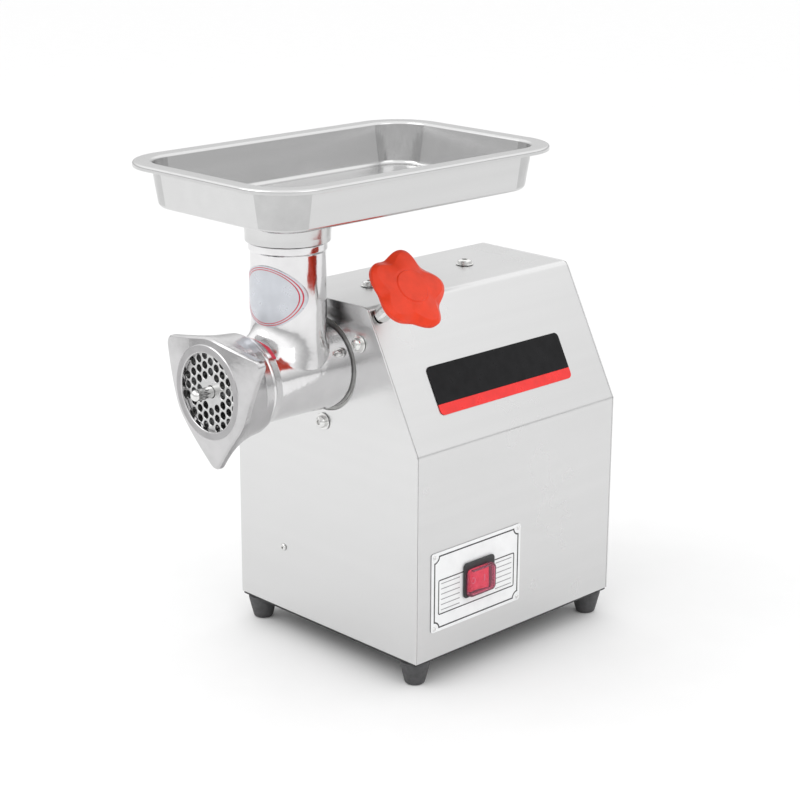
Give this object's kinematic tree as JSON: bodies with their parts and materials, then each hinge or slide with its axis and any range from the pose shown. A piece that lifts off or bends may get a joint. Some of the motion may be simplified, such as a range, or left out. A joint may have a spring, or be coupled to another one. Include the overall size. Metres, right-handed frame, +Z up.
{
  "type": "electric meat grinder",
  "caption": "Countertop electric meat grinder: slant-topped steel casing on rubber feet, cast head with worm, knife, hole plate and ring nut, feed tray, clamp knob and rocker switch.",
  "frame": {"origin": "on the surface the feet stand on, below the middle of the whole grinder's box", "axes": "+Z up; -Y towards the grinding head; +X towards the switch and the clamp knob"},
  "size_m": [0.208, 0.3544, 0.3902],
  "materials": {
    "stainless": "fine brushed stainless sheet",
    "polished_aluminium": "polished casting",
    "cast_aluminium": "as cast",
    "zinc_steel": "bright zinc plate",
    "gear_steel": "ground and oiled",
    "bearing_steel": "ground",
    "black_sheet": "black paint",
    "rubber": "matt grey rubber",
    "orange_plastic": "moulded, satin gloss",
    "black_plastic": "moulded, fine grain",
    "red_plastic": "translucent red moulding",
    "pink_silicone": "soft translucent silicone",
    "black_film": "printed film, black over a red band",
    "silver_film": "printed silver film",
    "laminations": "stacked electrical sheet",
    "copper": "varnished copper winding",
    "white_plastic": "moulded",
    "nitrile": "oil seal rubber"
  },
  "bodies": {
    "machine": {"base_plate": "black_sheet", "front_panel": "stainless", "top_cover": "stainless", "rear_panel": "stainless", "top_brace": "zinc_steel", "top_screw_front": "zinc_steel", "top_screw_rear": "zinc_steel", "foot_front_right": "rubber", "foot_front_left": "rubber", "foot_rear_right": "rubber", "foot_rear_left": "rubber", "foot_screw_front_right": "zinc_steel", "foot_screw_front_left": "zinc_steel", "foot_screw_rear_right": "zinc_steel", "foot_screw_rear_left": "zinc_steel", "front_bolt_1": "zinc_steel", "front_bolt_2": "zinc_steel", "front_bolt_3": "zinc_steel", "front_panel_screw": "zinc_steel", "brand_label": "black_film", "rating_plate": "silver_film", "cable_gland": "black_plastic", "gland_nut": "black_plastic", "switch_bezel": "black_plastic", "switch_boot": "pink_silicone", "gearbox_housing": "cast_aluminium", "gearbox_cover": "cast_aluminium", "oil_seal": "nitrile", "output_bearing_front": "bearing_steel", "output_bearing_rear": "bearing_steel", "intermediate_bearing_front": "bearing_steel", "intermediate_bearing_rear": "bearing_steel", "motor_bearing_front": "bearing_steel", "motor_bearing_rear": "bearing_steel", "motor_stator": "laminations", "motor_winding_front": "copper", "motor_winding_rear": "copper", "motor_end_bell_front": "cast_aluminium", "motor_end_bell_rear": "cast_aluminium", "motor_cradle": "cast_aluminium", "capacitor": "white_plastic", "capacitor_clip": "zinc_steel"},
    "output": {"output_shaft": "gear_steel", "output_gear": "gear_steel"},
    "intermediate": {"intermediate_shaft": "gear_steel", "intermediate_gear": "gear_steel"},
    "motor": {"motor_shaft": "gear_steel", "motor_rotor": "laminations", "motor_fan": "white_plastic"},
    "clamp": {"clamp_screw": "zinc_steel"},
    "knob": {"clamp_knob": "orange_plastic"},
    "rocker": {"switch_rocker": "red_plastic"},
    "head": {"head_barrel": "polished_aluminium", "plate_key_pin": "zinc_steel", "throat_label": "silver_film"},
    "worm": {"worm": "cast_aluminium", "knife": "gear_steel"},
    "plate": {"hole_plate": "zinc_steel"},
    "ring": {"ring_nut": "polished_aluminium"},
    "tray": {"feed_tray": "stainless"}
  },
  "joints": [
    {"name": "output_spin", "type": "hinge", "parent": "machine", "child": "output", "pos_m": [-0.004, -0.00275, 0.234], "axis": [0, 1, 0], "continuous": true},
    {"name": "intermediate_spin", "type": "hinge", "parent": "machine", "child": "intermediate", "pos_m": [-0.004, -0.00275, 0.176], "axis": [0, 1, 0], "continuous": true},
    {"name": "motor_spin", "type": "hinge", "parent": "machine", "child": "motor", "pos_m": [-0.004, 0.08725, 0.128], "axis": [0, 1, 0], "continuous": true},
    {"name": "worm_spin", "type": "hinge", "parent": "head", "child": "worm", "pos_m": [-0.004, -0.10275, 0.234], "axis": [0, 1, 0], "continuous": true},
    {"name": "head_slide", "type": "slide", "parent": "machine", "child": "head", "axis": [0, -1, 0], "range_m": [0, 0.06]},
    {"name": "tray_lift", "type": "slide", "parent": "head", "child": "tray", "axis": [0, 0, 1], "range_m": [0, 0.05]},
    {"name": "ring_turn", "type": "hinge", "parent": "plate", "child": "ring", "pos_m": [-0.004, -0.14775, 0.234], "axis": [0, -1, 0], "range_deg": [0, 1080]},
    {"name": "plate_slide", "type": "slide", "parent": "head", "child": "plate", "axis": [0, -1, 0], "range_m": [0, 0.0121]},
    {"name": "knob_turn", "type": "hinge", "parent": "clamp", "child": "knob", "pos_m": [0.06813, -0.04375, 0.29582], "axis": [0.7593, 0, 0.6508], "range_deg": [0, 2880]},
    {"name": "clamp_slide", "type": "slide", "parent": "machine", "child": "clamp", "axis": [0.7593, 0, 0.6508], "range_m": [0, 0.0101]},
    {"name": "rocker_tilt", "type": "hinge", "parent": "machine", "child": "rocker", "pos_m": [0.092, 0.01175, 0.073], "axis": [0, 0, 1], "range_deg": [0, 14]}
  ],
  "couplings": [
    {"joint": "intermediate_spin", "follows": "output_spin", "ratio": -2.625},
    {"joint": "motor_spin", "follows": "output_spin", "ratio": 7.875},
    {"joint": "worm_spin", "follows": "output_spin", "ratio": 1},
    {"joint": "plate_slide", "follows": "ring_turn", "m_per_rad": 0.00063662},
    {"joint": "clamp_slide", "follows": "knob_turn", "m_per_rad": 0.00019894}
  ]
}
